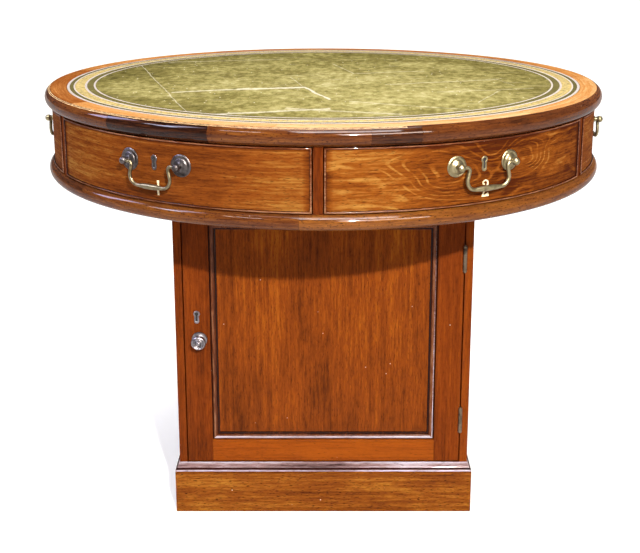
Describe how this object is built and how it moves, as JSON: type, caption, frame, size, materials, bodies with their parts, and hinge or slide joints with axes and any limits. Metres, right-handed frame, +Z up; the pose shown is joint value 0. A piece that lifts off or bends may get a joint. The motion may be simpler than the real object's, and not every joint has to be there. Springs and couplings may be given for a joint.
{
  "type": "captains desk",
  "caption": "Round drum desk with a gilt-tooled leather top, curved drawers with bail handles in the frieze, and a square cupboard pedestal on which the drum revolves.",
  "frame": {"origin": "on the floor, under the spindle that the drum turns on", "axes": "+Z up, -Y towards the cupboard door, +X to the right of someone facing the door"},
  "size_m": [1.0498, 1.0358, 0.76],
  "materials": {
    "mahogany": "french polished",
    "mahogany_drawer_front": "french polished",
    "mahogany_moulding": "french polished",
    "mahogany_top": "french polished",
    "oak_lining": "bare",
    "leather": "gilt tooled",
    "brass": "aged",
    "iron": "turned"
  },
  "bodies": {
    "pedestal": {"plinth_boards": "mahogany", "plinth_moulding": "mahogany_moulding", "carcass_left_side": "mahogany", "carcass_right_side": "mahogany", "carcass_back": "mahogany", "carcass_bottom": "mahogany", "carcass_top": "mahogany", "pivot_spindle": "iron", "frame_hinge_leaves": "brass", "hinge_pins": "brass"},
    "door": {"door_lock_stile": "mahogany", "door_hinge_stile": "mahogany", "door_bottom_rail": "mahogany", "door_top_rail": "mahogany", "door_panel": "mahogany", "door_bead": "mahogany_moulding", "door_knob": "brass", "door_key_plate": "brass", "door_lock": "brass", "door_hinge_leaves": "brass"},
    "drum": {"table_top": "mahogany_top", "top_rim": "mahogany_moulding", "leather_inset": "leather", "drum_base": "mahogany_top", "lower_rim": "mahogany_moulding", "dividers": "mahogany", "hub_block": "oak_lining", "pivot_bush": "brass"},
    "drawer_1": {"drawer_front_1": "mahogany_drawer_front", "drawer_cockbead_1": "mahogany_moulding", "drawer_box_1": "oak_lining", "drawer_fittings_1": "brass"},
    "bail_1": {"bail_handle_1": "brass"},
    "drawer_2": {"drawer_front_2": "mahogany_drawer_front", "drawer_cockbead_2": "mahogany_moulding", "drawer_box_2": "oak_lining", "drawer_fittings_2": "brass"},
    "bail_2": {"bail_handle_2": "brass"},
    "drawer_3": {"drawer_front_3": "mahogany_drawer_front", "drawer_cockbead_3": "mahogany_moulding", "drawer_box_3": "oak_lining", "drawer_fittings_3": "brass"},
    "bail_3": {"bail_handle_3": "brass"},
    "drawer_4": {"drawer_front_4": "mahogany_drawer_front", "drawer_cockbead_4": "mahogany_moulding", "drawer_box_4": "oak_lining", "drawer_fittings_4": "brass"},
    "bail_4": {"bail_handle_4": "brass"},
    "drawer_5": {"drawer_front_5": "mahogany_drawer_front", "drawer_cockbead_5": "mahogany_moulding", "drawer_box_5": "oak_lining", "drawer_fittings_5": "brass"},
    "bail_5": {"bail_handle_5": "brass"},
    "drawer_6": {"drawer_front_6": "mahogany_drawer_front", "drawer_cockbead_6": "mahogany_moulding", "drawer_box_6": "oak_lining", "drawer_fittings_6": "brass"},
    "bail_6": {"bail_handle_6": "brass"}
  },
  "joints": [
    {"name": "desk_top_turn", "type": "hinge", "parent": "pedestal", "child": "drum", "pos_m": [0, 0, 0.66], "axis": [0, 0, 1], "continuous": true},
    {"name": "door_swing", "type": "hinge", "parent": "pedestal", "child": "door", "pos_m": [0.246, -0.2647, 0.33], "axis": [0, 0, 1], "range_deg": [0, 170]},
    {"name": "drawer_1_slide", "type": "slide", "parent": "drum", "child": "drawer_1", "axis": [-0.5128, -0.8585, 0], "range_m": [0, 0.26]},
    {"name": "handle_1_swing", "type": "hinge", "parent": "drawer_1", "child": "bail_1", "pos_m": [-0.2656, -0.44467, 0.692], "axis": [-0.8585, 0.5128, 0], "range_deg": [-10, 105]},
    {"name": "drawer_2_slide", "type": "slide", "parent": "drum", "child": "drawer_2", "axis": [0.4871, -0.8733, 0], "range_m": [0, 0.26]},
    {"name": "handle_2_swing", "type": "hinge", "parent": "drawer_2", "child": "bail_2", "pos_m": [0.25229, -0.45235, 0.692], "axis": [-0.8733, -0.4871, 0], "range_deg": [-10, 105]},
    {"name": "drawer_3_slide", "type": "slide", "parent": "drum", "child": "drawer_3", "axis": [0.9999, -0.0148, 0], "range_m": [0, 0.26]},
    {"name": "handle_3_swing", "type": "hinge", "parent": "drawer_3", "child": "bail_3", "pos_m": [0.5179, -0.00768, 0.692], "axis": [-0.0148, -0.9999, 0], "range_deg": [-10, 105]},
    {"name": "drawer_4_slide", "type": "slide", "parent": "drum", "child": "drawer_4", "axis": [0.5128, 0.8585, 0], "range_m": [0, 0.26]},
    {"name": "handle_4_swing", "type": "hinge", "parent": "drawer_4", "child": "bail_4", "pos_m": [0.2656, 0.44467, 0.692], "axis": [0.8585, -0.5128, 0], "range_deg": [-10, 105]},
    {"name": "drawer_5_slide", "type": "slide", "parent": "drum", "child": "drawer_5", "axis": [-0.4871, 0.8733, 0], "range_m": [0, 0.26]},
    {"name": "handle_5_swing", "type": "hinge", "parent": "drawer_5", "child": "bail_5", "pos_m": [-0.25229, 0.45235, 0.692], "axis": [0.8733, 0.4871, 0], "range_deg": [-10, 105]},
    {"name": "drawer_6_slide", "type": "slide", "parent": "drum", "child": "drawer_6", "axis": [-0.9999, 0.0148, 0], "range_m": [0, 0.26]},
    {"name": "handle_6_swing", "type": "hinge", "parent": "drawer_6", "child": "bail_6", "pos_m": [-0.5179, 0.00768, 0.692], "axis": [0.0148, 0.9999, 0], "range_deg": [-10, 105]}
  ]
}
